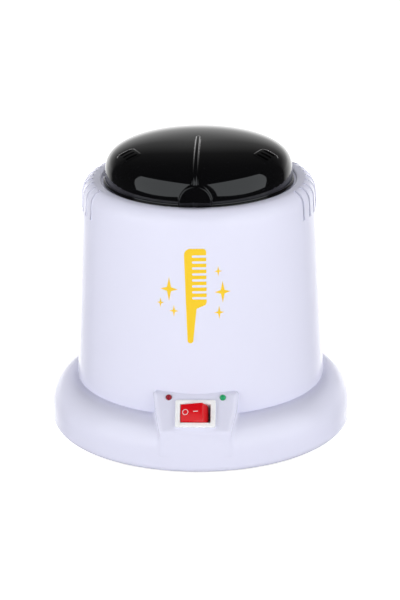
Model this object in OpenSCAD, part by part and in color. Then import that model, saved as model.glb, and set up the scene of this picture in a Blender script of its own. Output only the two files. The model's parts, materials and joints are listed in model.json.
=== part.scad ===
// Bench-top tool sterilizer pot: heated steel well in a round two-piece housing,
// loose vented lid, rocker switch and two indicator lamps on a sloping console.
// Millimetres, +Z up, front faces -Y, origin on the axis at the bottom of the feet.

/* [Base] */
// Largest diameter of the base ring
base_d = 161.6; // [158:0.2:166]
// Height of the groove where the body stands on the base
crease_z = 28; // [27:0.5:30]
// Gap between the base moulding and the table, taken up by the feet
foot_proud = 1; // [0.8:0.1:2]
// Wall thickness of the mouldings
wall = 2.4; // [2:0.1:2.8]

/* [Body] */
// Diameter of the body where it meets the base
body_bottom_d = 133.6; // [132:0.2:135]
// Diameter of the body just under its shoulder
body_top_d = 123.8; // [123:0.2:126]
// Height of the top of the shoulder
body_top_z = 138; // [137:0.5:139]
// Radius of the shoulder
shoulder_r = 8; // [7:0.5:9]
// Number of cooling slots in each side of the shoulder
slots_per_side = 8; // [4:1:9]

/* [Lid] */
// Diameter of the lid
lid_d = 100; // [98:0.5:101]
// Height of the upright edge of the lid
lid_edge_h = 9.6; // [9:0.2:11]
// Height of the dome above that edge
dome_h = 13.2; // [12:0.2:14]

/* [Well] */
// Inside diameter of the steel well
well_d = 66; // [60:1:68]
// Depth of the well
well_depth = 76; // [70:1:78]

/* [Console] */
// Angle of the console face from upright
face_tilt = 42.5; // [42:0.5:44]
// Length of the console face from top to lip
face_len = 22.4; // [21:0.1:22.5]
// Width of the console at its top
face_top_w = 44.6; // [44:0.2:47]
// Width of the console at its lip
face_lip_w = 37; // [36:0.2:39]
// Spacing of the two lamps
lamp_spacing = 28.2; // [27:0.1:29]
// Swing of the rocker from off to on, in degrees
rocker_swing = 28; // [20:1:28]

/* [Hidden] */
$fn = 96;

// Base ring
base_r = base_d / 2;
base_bottom_r = 5.4;
ring_side_z = 13.2;
ring_crown_r = base_r - body_bottom_d / 2 + 1;
base_bore_r = 55.5;

// Body
body_r0 = body_bottom_d / 2;
body_r1 = body_top_d / 2;
seat_r = 52;
seat_z = body_top_z - 1.6;
deck_t = 3;
deck_hole_r = 44;
slot_w = 1.6;
slot_pitch = 7.5;
slot_low_z = body_top_z - 15;

// Lid
lid_r = lid_d / 2;
lid_z = seat_z + 0.3;
lid_dome_z = lid_z + lid_edge_h;
lid_wall = 2.4;
plate_lift = 8.6;
post_ring_r = 30;
vent_r = 39.7;
vent_len = 6.5;
vent_w = 1.8;
vent_pitch = 4;
vent_angle = 65;
rib_w = 3.2;
rib_rise = 2.2;
pad_w = 17;
pad_h = 12;

// Well and heater
well_r = well_d / 2;
well_t = 1;
flange_r = 40;
flange_z = seat_z;
well_floor_z = flange_z + 0.8 - well_depth;
collar_top_z = flange_z;
collar_screw_ring_r = 47;
collar_flange_r = 50;
collar_flange_t = 2;
boss_h = 6;
collar_foot_z = seat_z - deck_t - boss_h - collar_flange_t;
band_z0 = well_floor_z + 8;
band_h = 42;
band_r0 = well_r + well_t + 0.1;
band_r1 = band_r0 + 2.6;
sleeve_r0 = band_r1 + 6.5;
sleeve_r1 = sleeve_r0 + 5;
sleeve_z0 = well_floor_z - 4;
sleeve_z1 = 123.4;
shield_r = sleeve_r1 + 0.4;
plate_z = well_floor_z - 10.4;
plate_t = 1.4;
plate_r = 55;
standoff_ring_r = 50;
// Radius at which the heater wires rise between the band and the sleeve
stud_wire_r = 40.1;

// Bottom cover, feet and screws
cover_z = foot_proud + 0.6;
cover_t = 2.4;
cover_r = 72;
foot_ring_r = 60;
foot_r = 8;
cover_screw_ring_r = 66;

// Console frame: the top edge of the face, and where things sit down the slope
console_top_y = -65.6;
console_top_z = 41;
lip_y = console_top_y - face_len * sin(face_tilt);
lip_z = console_top_z - face_len * cos(face_tilt);
lamp_down = 2.9;
// How far the console's sides spread where they meet the ring
console_flare = 2.5;
console_deep = 16;
lamp_hole_r = 1.75;
switch_down = 12.3;
bezel_w = 21;
bezel_h = 15;
bezel_t = 1.8;
box_w = 19;
box_h = 12.8;
box_deep = 13;
rocker_opening_w = 15.8;
rocker_opening_h = 10.2;
rocker_room_w = 16.8;
rocker_h = 9.7;
pivot_deep = 4.9;
pivot_r = 1.1;
rocker_top_h = 8.3;
lever_deep = 10.4;
lever_rest = 5;

// Rear cable entry
gland_z = 13.4;
gland_bore_r = 3.2;
gland_neck_r = 5;
gland_flange_r = 7;
gland_wall_y = 77.2;
pocket_r = 8.4;

module on_face() {
    translate([0, console_top_y, console_top_z])
        rotate([90 - face_tilt, 0, 0])
            children();
}

module on_switch() {
    on_face() translate([0, -switch_down, 0]) children();
}

module ring_of(n, r, start = 0) {
    for (i = [0 : n - 1])
        rotate([0, 0, start + i * 360 / n])
            translate([r, 0, 0])
                children();
}

module tube(r_out, r_in, h) {
    difference() {
        cylinder(r = r_out, h = h);
        translate([0, 0, -1]) cylinder(r = r_in, h = h + 2);
    }
}

module pan_screw(shank_r, shank_l, head_r, head_h) {
    difference() {
        union() {
            cylinder(r = head_r, h = head_h);
            translate([0, 0, head_h]) cylinder(r = shank_r, h = shank_l);
        }
        for (a = [0, 90])
            rotate([0, 0, a])
                translate([-head_r * 0.55, -0.35, -1])
                    cube([head_r * 1.1, 0.7, 1 + head_h * 0.5]);
    }
}

// Swept round tube through hand-set points, with its rings square to the route
function unit(v) = v / norm(v);
function tangent(p, i) = unit(p[min(i + 1, len(p) - 1)] - p[max(i - 1, 0)]);
function side_of(t) = unit(cross(t, abs(t[2]) < 0.9 ? [0, 0, 1] : [1, 0, 0]));
function bend(a, b, c, d, t) =
    0.5 * ((2 * b) + (c - a) * t + (2 * a - 5 * b + 4 * c - d) * t * t
        + (3 * b - a - 3 * c + d) * t * t * t);
function smooth(p, n) = concat(
    [for (i = [0 : len(p) - 2]) for (k = [0 : n - 1])
        bend(p[max(i - 1, 0)], p[i], p[i + 1], p[min(i + 2, len(p) - 1)], k / n)],
    [p[len(p) - 1]]);

module sweep(route, r, sides = 8) {
    n = len(route);
    points = [for (i = [0 : n - 1])
        let (t = tangent(route, i), u = side_of(t), v = cross(t, u))
            for (k = [0 : sides - 1])
                route[i] + r * cos(360 * k / sides) * u + r * sin(360 * k / sides) * v];
    walls = [for (i = [0 : n - 2]) for (k = [0 : sides - 1])
        let (a = i * sides + k, b = i * sides + (k + 1) % sides)
            [a, a + sides, b + sides, b]];
    ends = [[for (k = [0 : sides - 1]) k],
        [for (k = [sides - 1 : -1 : 0]) (n - 1) * sides + k]];
    polyhedron(points = points, faces = concat(walls, ends));
}

function arc_points(cx, cz, rx, rz, a0, a1, n) =
    [for (i = [0 : n]) let (a = a0 + (a1 - a0) * i / n) [cx + rx * cos(a), cz + rz * sin(a)]];

// Solid console block, cut to stay clear of the inside when grown by a negative amount
module console_block(grow = 0) {
    top_w = face_top_w / 2 + grow;
    lip_w = face_lip_w / 2 + grow;
    back_y = console_top_y + console_deep;
    low_z = ring_side_z;
    hull() {
        for (s = [-1, 1]) {
            translate([s * (top_w - 0.5), back_y, console_top_z + grow - 0.01])
                cylinder(r = 0.5, h = 0.01, $fn = 16);
            translate([s * (top_w - 1.2), console_top_y + 1.2 - grow, console_top_z + grow - 0.01])
                cylinder(r = 1.2, h = 0.01, $fn = 24);
            translate([s * (lip_w - 2), lip_y + 2 - grow * 0.4, lip_z + grow * 0.4 - 0.01])
                cylinder(r = 2, h = 0.01, $fn = 24);
            translate([s * (lip_w - 2), lip_y + 2.6 - grow, low_z])
                cylinder(r = 2, h = 0.01, $fn = 24);
            translate([s * (lip_w + console_flare), back_y, low_z])
                cylinder(r = 0.5, h = 0.01, $fn = 16);
        }
    }
}

function ring_outline(t) = concat(
    arc_points(base_r - base_bottom_r, foot_proud + base_bottom_r,
        base_bottom_r - t, base_bottom_r - t, -90, 0, 10),
    arc_points(body_r0 - 1, ring_side_z, ring_crown_r - t, crease_z - ring_side_z - t, 0, 86, 20));

module ring_solid(t, low) {
    rotate_extrude()
        polygon(concat([[0, low], [base_r - base_bottom_r, low]], ring_outline(t),
            [[0, crease_z - t]]));
}

module base_shell() {
    color("lavender") difference() {
        union() {
            difference() {
                ring_solid(0, foot_proud);
                ring_solid(wall, foot_proud - 1);
                cylinder(r = base_bore_r, h = 60);
            }
            difference() {
                console_block();
                console_block(-wall);
                translate([-20, -60, 0]) cube([40, 60, 60]);
                cylinder(r = body_r0 - 4.4, h = 60);
                difference() {
                    translate([0, 0, -1]) cylinder(r = 90, h = lip_z - 3);
                    ring_solid(0, foot_proud);
                }
            }
            // Posts for the bottom cover
            ring_of(4, cover_screw_ring_r, 45)
                translate([0, 0, cover_z + cover_t + 0.05])
                    tube(3.4, 1.2, crease_z - wall - cover_z - cover_t + 1);
        }
        // Inside of the console opens into the ring
        intersection() {
            console_block(-wall);
            ring_solid(-5, foot_proud + 3);
            translate([0, 0, lip_z - 12]) cylinder(r = base_r - 4.5, h = 60);
        }
        on_switch() translate([0, 0, -6]) cube([box_w + 0.3, box_h + 0.3, 14], center = true);
        for (s = [-1, 1])
            on_face() translate([s * lamp_spacing / 2, -lamp_down, -8])
                cylinder(r = lamp_hole_r, h = 12);
        // Rear cable entry: a flat pocket and the hole for the gland
        translate([0, gland_wall_y, gland_z]) rotate([-90, 0, 0]) cylinder(r = pocket_r, h = 20);
        translate([0, 60, gland_z]) rotate([-90, 0, 0]) cylinder(r = gland_neck_r, h = 30);
        // Screw holes up into the body
        ring_of(4, body_r0 - 7.4, 45) translate([0, 0, 20]) cylinder(r = 1.7, h = 20);
    }
    rear_wall_pad();
}

// Flat floor and side of the cable pocket
module rear_wall_pad() {
    color("lavender") difference() {
        intersection() {
            translate([0, gland_wall_y - wall, gland_z])
                rotate([-90, 0, 0]) cylinder(r = pocket_r + 2, h = wall + 3);
            ring_solid(0.4, foot_proud);
        }
        translate([0, gland_wall_y, gland_z]) rotate([-90, 0, 0]) cylinder(r = pocket_r, h = 20);
        translate([0, 60, gland_z]) rotate([-90, 0, 0]) cylinder(r = gland_neck_r, h = 30);
    }
}

module body_outline(t) {
    top_z = body_top_z - t;
    polygon(concat([[0, crease_z], [body_r0 - t, crease_z]],
        arc_points(body_r1 - shoulder_r, body_top_z - shoulder_r,
            shoulder_r - t, shoulder_r - t, 0, 90, 14),
        [[0, top_z]]));
}

module body_shell() {
    color("lavender") difference() {
        union() {
            difference() {
                rotate_extrude() body_outline(0);
                translate([0, 0, -0.01]) rotate_extrude() body_outline(wall);
            }
            // Seat deck for the lid, hung from the shoulder ring
            translate([0, 0, seat_z - deck_t]) tube(seat_r + 2, deck_hole_r, deck_t);
            translate([0, 0, seat_z]) tube(seat_r + 2, seat_r, body_top_z - seat_z - 0.2);
            // Posts for the screws from the base
            ring_of(4, body_r0 - 7.4, 45)
                translate([0, 0, crease_z]) tube(3.6, 1.2, 22);
            ring_of(4, body_r0 - 4.2, 45)
                translate([-0.9, -1, crease_z]) cube([3.4, 2, 20]);
            // Bosses for the collar screws
            ring_of(4, collar_screw_ring_r, 45)
                translate([0, 0, seat_z - deck_t - boss_h]) tube(2.8, 1, boss_h + 1);
        }
        translate([0, 0, seat_z]) cylinder(r = seat_r, h = 10);
        translate([0, 0, seat_z - deck_t - 1]) cylinder(r = deck_hole_r, h = 20);
        for (side = [0, 180])
            for (i = [0 : slots_per_side - 1])
                rotate([0, 0, side + (i - (slots_per_side - 1) / 2) * slot_pitch])
                    translate([seat_r + 3.4, -slot_w / 2, slot_low_z])
                        cube([20, slot_w, 40]);
        console_block(0.15);
    }
}

module bottom_cover() {
    color("silver") difference() {
        union() {
            translate([0, 0, cover_z]) cylinder(r = cover_r, h = cover_t);
            ring_of(4, foot_ring_r, 0)
                translate([0, 0, cover_z + cover_t]) cylinder(r = 3.8, h = 3);
        }
        ring_of(4, foot_ring_r, 0) {
            translate([0, 0, cover_z - 1]) cylinder(r = foot_r + 0.2, h = 2);
            translate([0, 0, cover_z]) cylinder(r = 1.3, h = 5.4);
        }
        ring_of(4, cover_screw_ring_r, 45)
            translate([0, 0, cover_z - 1]) cylinder(r = 1.7, h = 6);
        ring_of(3, standoff_ring_r, 30)
            translate([0, 0, cover_z - 1]) cylinder(r = 1.7, h = 6);
        // Cooling slots
        for (i = [-4 : 4])
            translate([i * 5, 0, cover_z - 1])
                translate([-1, -16, 0]) cube([2, 32, 6]);
    }
}

module foot(i) {
    color("dimgray") rotate([0, 0, (i - 1) * 90]) translate([foot_ring_r, 0, 0])
        difference() {
            union() {
                cylinder(r1 = foot_r - 1.6, r2 = foot_r - 0.8, h = 1);
                translate([0, 0, 1]) cylinder(r = foot_r - 0.8, h = cover_z);
            }
            translate([0, 0, -1]) cylinder(r = 3.1, h = 1 + 1.1);
            cylinder(r = 1.4, h = 8);
        }
}
module foot_1() { foot(1); }
module foot_2() { foot(2); }
module foot_3() { foot(3); }
module foot_4() { foot(4); }

module foot_screws() {
    color("silver") ring_of(4, foot_ring_r, 0)
        translate([0, 0, 0.3]) pan_screw(1.3, 5, 2.8, 0.8);
}

module cover_screws() {
    color("silver") ring_of(4, cover_screw_ring_r, 45)
        translate([0, 0, cover_z - 1.5 + 0.3]) pan_screw(1.2, 9, 2.8, 1.2);
}

module body_screws() {
    color("silver") ring_of(4, body_r0 - 7.4, 45)
        translate([0, 0, crease_z - wall - 1.7]) pan_screw(1.2, 12, 2.9, 1.6);
}

module pot_collar() {
    color("ivory") difference() {
        union() {
            translate([0, 0, collar_foot_z])
                cylinder(r = deck_hole_r - 0.2, h = collar_top_z - collar_foot_z);
            translate([0, 0, collar_foot_z]) cylinder(r = collar_flange_r, h = collar_flange_t);
        }
        translate([0, 0, collar_foot_z - 1]) cylinder(r = well_r + well_t + 0.1, h = 40);
        ring_of(4, collar_screw_ring_r, 45)
            translate([0, 0, collar_foot_z - 1]) cylinder(r = 1.3, h = 5);
    }
}

module well_pot() {
    color("silver") difference() {
        union() {
            translate([0, 0, well_floor_z - well_t])
                cylinder(r = well_r + well_t, h = flange_z - well_floor_z + well_t + 0.4);
            translate([0, 0, flange_z]) cylinder(r = flange_r, h = 0.8);
        }
        translate([0, 0, well_floor_z]) cylinder(r = well_r, h = 200);
    }
}

module collar_screws() {
    color("silver") ring_of(4, collar_screw_ring_r, 45)
        translate([0, 0, collar_foot_z - 1.4]) pan_screw(1, 8, 2.2, 1.4);
}

module heater_band() {
    color("darkgray") difference() {
        union() {
            translate([0, 0, band_z0]) tube(band_r1, band_r0, band_h);
            // Ears at the gap, turned out to take the clamp bolt
            for (s = [-1, 1])
                translate([s * 2 - 0.6, band_r0 + 0.4, band_z0 + band_h / 2 - 6])
                    cube([1.2, 8, 12]);
        }
        translate([-1.4, 0, band_z0 - 1]) cube([2.8, 60, band_h + 2]);
        translate([-10, band_r0 + 5.6, band_z0 + band_h / 2])
            rotate([0, 90, 0]) cylinder(r = 1.6, h = 20);
    }
    // Two terminal studs low on the band
    color("darkgray") for (a = [-110, -70])
        rotate([0, 0, a])
            translate([band_r1 - 0.3, 0, band_z0 + 5])
                rotate([0, 90, 0]) cylinder(r = 1.2, h = 5);
}

module band_bolt() {
    color("silver") translate([0, band_r0 + 5.6, band_z0 + band_h / 2]) rotate([0, 90, 0]) {
        translate([0, 0, -6]) cylinder(r = 1.5, h = 12);
        translate([0, 0, -5.4]) cylinder(r = 2.9, h = 2.4);
        translate([0, 0, 2.7]) cylinder(r = 3, h = 2.2, $fn = 6);
    }
}

module insulation_sleeve() {
    color("oldlace") translate([0, 0, sleeve_z0])
        tube(sleeve_r1, sleeve_r0 + 0.3, sleeve_z1 - sleeve_z0);
}

module heat_shield() {
    color("gainsboro") difference() {
        translate([0, 0, sleeve_z0]) tube(shield_r + 0.8, shield_r, sleeve_z1 - sleeve_z0);
        for (i = [0 : 11])
            rotate([0, 0, i * 30 + 15])
                translate([shield_r + 0.4, 0, sleeve_z1 - 8])
                    cube([6, 3, 8], center = true);
    }
    // Foot flange of the shield on the plate
    color("gainsboro") difference() {
        translate([0, 0, plate_z + plate_t])
            tube(shield_r + 0.8, shield_r, sleeve_z0 - plate_z - plate_t + 0.1);
        // Notches round the screw heads
        ring_of(3, standoff_ring_r, 30)
            translate([0, 0, plate_z + plate_t - 1]) cylinder(r = 3, h = 3);
    }
}

module support_plate() {
    color("silver") difference() {
        translate([0, 0, plate_z]) cylinder(r = plate_r, h = plate_t);
        translate([0, 0, plate_z - 1]) cylinder(r = 10, h = 5);
        ring_of(3, standoff_ring_r, 30)
            translate([0, 0, plate_z - 1]) cylinder(r = 1.7, h = 5);
        // Wire passes
        for (a = [-110, -70])
            rotate([0, 0, a]) translate([stud_wire_r, 0, plate_z - 1]) cylinder(r = 2.6, h = 5);
        translate([-30, 30, plate_z - 1]) cylinder(r = 1.7, h = 5);
    }
}

module base_insulator() {
    color("oldlace") translate([0, 0, plate_z + plate_t])
        tube(21, 9.4, well_floor_z - well_t - plate_z - plate_t);
}

module standoff(i) {
    h = plate_z - cover_z - cover_t;
    color("goldenrod") rotate([0, 0, 30 + (i - 1) * 120])
        translate([standoff_ring_r, 0, cover_z + cover_t])
            difference() {
                cylinder(r = 3.4, h = h, $fn = 6);
                translate([0, 0, -1]) cylinder(r = 1.25, h = 9);
                translate([0, 0, h - 8]) cylinder(r = 1.25, h = 9);
            }
}
module standoff_1() { standoff(1); }
module standoff_2() { standoff(2); }
module standoff_3() { standoff(3); }

module standoff_screws() {
    color("silver") ring_of(3, standoff_ring_r, 30) {
        translate([0, 0, cover_z - 0.9]) pan_screw(1.2, 8, 2.8, 0.9);
        translate([0, 0, plate_z + plate_t + 1.4]) mirror([0, 0, 1]) pan_screw(1.2, 7, 2.6, 1.4);
    }
}

module thermostat() {
    color("gray") translate([0, 0, well_floor_z - well_t]) mirror([0, 0, 1]) {
        cylinder(r = 8, h = 2.6);
        translate([0, 0, 2.6]) cylinder(r = 7.2, h = 6.6);
        for (s = [-1, 1])
            translate([s * 3.6 - 0.4, -3, 9.2]) cube([0.8, 6, 6]);
    }
}

module thermal_fuse() {
    color("white") translate([20, -30, plate_z - 2.4]) rotate([0, 90, 0]) {
        cylinder(r = 2, h = 11);
        translate([0, 0, -4]) cylinder(r = 0.5, h = 19);
    }
    color("white") translate([23.5, -32.6, plate_z - 1]) cube([4, 5.2, 1]);
}

module switch_housing() {
    color("white") on_switch() difference() {
        union() {
            linear_extrude(bezel_t) offset(r = 1) square([bezel_w - 2, bezel_h - 2], center = true);
            translate([0, 0, 0.1 - box_deep / 2])
                cube([box_w, box_h, box_deep + 0.2], center = true);
            // Snap wings
            for (s = [-1, 1])
                translate([s * (box_w / 2 - 0.1) - 0.5, -3, -7]) cube([1, 6, 3.4]);
        }
        translate([0, 0, 1]) cube([rocker_opening_w, rocker_opening_h, 6], center = true);
        translate([0, 0, -6.3])
            cube([rocker_room_w, rocker_opening_h + 0.3, box_deep - 2.8], center = true);
        // Pivot holes for the rocker
        translate([0, 0, -pivot_deep]) rotate([90, 0, 0])
            cylinder(r = pivot_r + 0.06, h = box_h - 0.6, center = true);
    }
}

module switch_terminals() {
    color("gold") on_switch()
        for (s = [-1, 1])
            translate([s * 6 - 0.4, -2.4, -box_deep - 8]) cube([0.8, 4.8, 8]);
}

// Paddle outline across the switch, from its pivot: flat front, slanted ends, plunger neck
module rocker_outline() {
    front_w = 5.85;
    end_w = 7.25;
    polygon([[-front_w, rocker_top_h], [front_w, rocker_top_h], [end_w, 3.3], [end_w, 0.4],
        [2.6, 0.4], [1.9, -3.2], [-1.9, -3.2], [-2.6, 0.4], [-end_w, 0.4], [-end_w, 3.3]]);
}

module on_pivot() {
    on_switch() translate([0, 0, -pivot_deep]) rotate([0, -rocker_swing / 2, 0]) children();
}

module rocker() {
    color("red") on_pivot() {
        difference() {
            translate([0, rocker_h / 2, 0]) rotate([90, 0, 0]) linear_extrude(rocker_h)
                rocker_outline();
            // Socket for the plunger
            translate([0, 0, -4]) cylinder(r = 1.3, h = 6.5);
            for (s = [-1, 1])
                translate([s * 4.5 - 1.7, -rocker_h / 2 + 1, 0]) cube([3.4, rocker_h - 2, 2.4]);
        }
        // Stub pins in the sides, which leave the plunger socket clear
        for (s = [-1, 1])
            translate([0, s * (rocker_h / 2 + 0.3), 0])
                rotate([90, 0, 0]) cylinder(r = pivot_r, h = 1, center = true);
    }
}

module plunger() {
    color("white") on_pivot() {
        translate([0, 0, -4.1]) cylinder(r = 1, h = 4);
        translate([0, 0, -4.1]) sphere(r = 0.8);
    }
}

module plunger_spring() {
    turns = 4;
    steps = 20;
    coil = [for (i = [0 : turns * steps])
        [0.95 * cos(i * 360 / steps), 0.95 * sin(i * 360 / steps), 0.2 + 0.5 * i / steps]];
    color("silver") on_pivot() sweep(coil, 0.12, 6);
}

module contact_lever() {
    color("goldenrod") on_switch() translate([0, 0, -lever_deep]) rotate([0, lever_rest, 0])
        difference() {
            union() {
                cube([12, 3.4, 0.5], center = true);
                translate([0, 0, -0.3]) rotate([90, 0, 0]) cylinder(r = 0.6, h = 3.4, center = true);
            }
            translate([5.2, 0, 0]) cylinder(r = 0.5, h = 3, center = true);
        }
}

module lamp(s, tint) {
    color(tint) on_face() translate([s * lamp_spacing / 2, -lamp_down, 0]) {
        translate([0, 0, -3.8]) cylinder(r = 1.5, h = 4.3);
        translate([0, 0, 0.5]) sphere(r = 1.5);
        translate([0, 0, -4.6]) cylinder(r = 1.95, h = 0.9);
    }
    color(tint) on_face() for (k = [-1, 1])
        translate([s * lamp_spacing / 2 + k * 1.27, -lamp_down, -7.4])
            cylinder(r = 0.25, h = 3);
}
module red_lamp() { lamp(-1, "crimson"); }
module green_lamp() { lamp(1, "mediumseagreen"); }

module lamp_board() {
    color("darkgreen") on_face() difference() {
        translate([-19, -lamp_down - 2.5, -7.3]) cube([38, 5.4, 1.4]);
        for (s = [-1, 1]) for (k = [-1, 1])
            translate([s * lamp_spacing / 2 + k * 1.27, -lamp_down, -8]) cylinder(r = 0.32, h = 4);
    }
}

module resistor(s) {
    color("burlywood") on_face() translate([s * 6.2, -lamp_down, -8.5]) rotate([0, 90, 0]) {
        cylinder(r = 1.15, h = 5.6, center = true);
        cylinder(r = 0.3, h = 8.4, center = true);
    }
}
module resistor_1() { resistor(-1); }
module resistor_2() { resistor(1); }

module terminal_block() {
    color("ivory") translate([0, 50, cover_z + cover_t]) difference() {
        union() {
            translate([-16, -5, 0]) cube([32, 10, 4]);
            for (i = [-1 : 1])
                translate([i * 10 - 4.2, -6, 0]) cube([8.4, 12, 11]);
        }
        for (i = [-1 : 1]) {
            translate([i * 10, 0, 7]) rotate([90, 0, 0]) cylinder(r = 1.7, h = 20, center = true);
            for (k = [-1, 1])
                translate([i * 10, k * 3, 7]) cylinder(r = 1.6, h = 10);
        }
    }
}

module terminal_screws() {
    color("silver") for (i = [-1 : 1]) for (k = [-1, 1])
        translate([i * 10, 50 + k * 3, cover_z + cover_t + 10.2]) mirror([0, 0, 1])
            pan_screw(0.9, 1, 1.5, 1.2);
}

module cord_grommet() {
    color("dimgray") translate([0, gland_wall_y, gland_z]) rotate([-90, 0, 0]) difference() {
        union() {
            cylinder(r = gland_flange_r, h = 2.2);
            translate([0, 0, -wall - 2.4]) cylinder(r = gland_neck_r, h = wall + 2.6);
            translate([0, 0, -wall - 2.4]) cylinder(r = gland_flange_r - 0.4, h = 2.4);
        }
        translate([0, 0, -20]) cylinder(r = gland_bore_r, h = 40);
    }
}

module earth_tag() {
    color("gold") translate([-30, 30, plate_z - 0.9]) difference() {
        union() {
            cylinder(r = 3.2, h = 0.8);
            translate([0, -2, 0]) cube([9, 4, 0.8]);
        }
        translate([0, 0, -1]) cylinder(r = 1.7, h = 3);
    }
    color("silver") translate([-30, 30, plate_z - 2.6]) pan_screw(1.6, 4.2, 2.8, 1.6);
}

// Wire routes, set by hand from terminal to terminal
live_route = [[10, 43.9, 11], [12, 38, 12], [24, 22, 12], [28, 0, 12], [22, -28, 12],
    [10, -44, 14], [6, -56.5, 13.5], [6, -59, 15.6]];
switched_route = [[-6, -59, 15.6], [-6, -56.5, 13.5], [-12, -42, 18], [-12, -24, 26],
    [-6, -8, 34], [-3.6, -3, 40], [-3.6, -1, 44]];
heater_route = [[3.6, 1, 44], [3.6, 4, 40], [9, -4, 36], [12, -20, 37], [13.7, -34, 42],
    [13.7, -37.7, 50], [13.7, -37.7, 60], [13.7, -37.7, 72.9]];
neutral_route = [[-10, 43.9, 11], [-12, 38, 14], [-22, 20, 30], [-20, -12, 34], [-14, -26, 38],
    [-13.7, -34, 42], [-13.7, -37.7, 50], [-13.7, -37.7, 60], [-13.7, -37.7, 72.9]];
lamp_route = [[-15.5, -62.6, 33.4], [-15, -59.7, 30.6], [-13, -53, 24], [-24, -40, 14],
    [-30, -20, 12], [-28, 12, 12], [-16, 36, 13], [-11.6, 43.7, 11.6]];
earth_route = [[0, 43.9, 11], [0, 38, 12], [-6, 32, 24], [-14, 29, 36], [-18, 30, 44.6],
    [-21, 30, 48.4]];
wire_r = 1;

module wire_live() { color("saddlebrown") sweep(smooth(live_route, 4), wire_r); }
module wire_switched() { color("firebrick") sweep(smooth(switched_route, 4), wire_r); }
module wire_heater() { color("firebrick") sweep(smooth(heater_route, 4), wire_r); }
module wire_neutral() { color("royalblue") sweep(smooth(neutral_route, 4), wire_r); }
module wire_lamps() { color("white") sweep(smooth(lamp_route, 4), 0.7); }
module wire_earth() { color("limegreen") sweep(smooth(earth_route, 4), wire_r); }

function lid_outline(t) = concat(
    [[lid_r - t, lid_z]],
    arc_points(0, lid_dome_z, lid_r - 0.5 - t, dome_h - t, 0, 90, 24));

module lid_solid(t, low) {
    rotate_extrude()
        polygon(concat([[0, low], [lid_r - t, low]], lid_outline(t)));
}

// Raised rib from the middle of the lid to its front, following the dome
module lid_rib() {
    intersection() {
        union() {
            translate([-rib_w / 2, -lid_r - 1, lid_z]) cube([rib_w, lid_r + 1, 40]);
            translate([0, 0, lid_z]) cylinder(r = rib_w / 2, h = 40);
        }
        rotate_extrude()
            polygon(concat([[0, lid_z], [lid_r + 0.5, lid_z]],
                arc_points(0, lid_dome_z, lid_r + 0.5, dome_h + rib_rise, 0, 90, 24)));
    }
}

// Arched pad under the front end of the rib, with a flat face
module lid_pad() {
    intersection() {
        translate([0, -lid_r + 6, lid_z]) rotate([90, 0, 0]) linear_extrude(8)
            union() {
                translate([-pad_w / 2, 0]) square([pad_w, pad_h - pad_w / 2 + 1.2]);
                intersection() {
                    translate([0, pad_h - pad_w / 2]) circle(r = pad_w / 2);
                    translate([-pad_w, 0]) square([2 * pad_w, 30]);
                }
            }
        translate([0, 0, lid_z]) cylinder(r = lid_r + 0.9, h = 40);
    }
}

module lid_dome() {
    color("#141416") difference() {
        union() {
            lid_solid(0, lid_z);
            translate([0, 0, lid_z]) cylinder(r = lid_r + 0.7, h = 1.2);
            lid_rib();
            lid_pad();
        }
        lid_solid(lid_wall, lid_z - 1);
        // Steam vents, three in each side
        for (side = [-1, 1]) for (i = [-1 : 1])
            rotate([0, 0, -90 + side * vent_angle])
                translate([vent_r, i * vent_pitch, lid_z + 16])
                    cube([vent_len, vent_w, 30], center = true);
    }
    // Posts inside the dome for the reflector
    color("#141416") ring_of(3, post_ring_r, 30)
        translate([0, 0, lid_z + plate_lift + 1]) tube(3, 1, 9.2);
}

module lid_gasket() {
    color("gray") translate([0, 0, lid_z + 2]) tube(lid_r - lid_wall - 0.3, lid_r - lid_wall - 4, 2.4);
}

module lid_plate() {
    color("silver") translate([0, 0, lid_z + plate_lift]) difference() {
        cylinder(r = 41, h = 1);
        ring_of(3, post_ring_r, 30) translate([0, 0, -1]) cylinder(r = 1.3, h = 3);
    }
}

module lid_screws() {
    color("silver") ring_of(3, post_ring_r, 30)
        translate([0, 0, lid_z + plate_lift - 1.4]) pan_screw(1, 6, 2.6, 1.4);
}

base_shell();
body_shell();
bottom_cover();
foot_1();
foot_2();
foot_3();
foot_4();
foot_screws();
cover_screws();
body_screws();
pot_collar();
well_pot();
collar_screws();
heater_band();
band_bolt();
insulation_sleeve();
heat_shield();
support_plate();
base_insulator();
standoff_1();
standoff_2();
standoff_3();
standoff_screws();
thermostat();
thermal_fuse();
switch_housing();
switch_terminals();
rocker();
plunger();
plunger_spring();
contact_lever();
red_lamp();
green_lamp();
lamp_board();
resistor_1();
resistor_2();
terminal_block();
terminal_screws();
cord_grommet();
earth_tag();
wire_live();
wire_switched();
wire_heater();
wire_neutral();
wire_lamps();
wire_earth();
lid_dome();
lid_gasket();
lid_plate();
lid_screws();
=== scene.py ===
"""The looks of a heated tool sterilizer pot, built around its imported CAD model.

Lengths inside this file are millimetres in the part's own frame (+Z up, front towards -Y) and are
turned into metres where a mesh is made.
"""

import json
import math

import bmesh
import bpy
import numpy as np
from mathutils import Matrix, Vector
from mathutils.geometry import delaunay_2d_cdt


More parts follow.
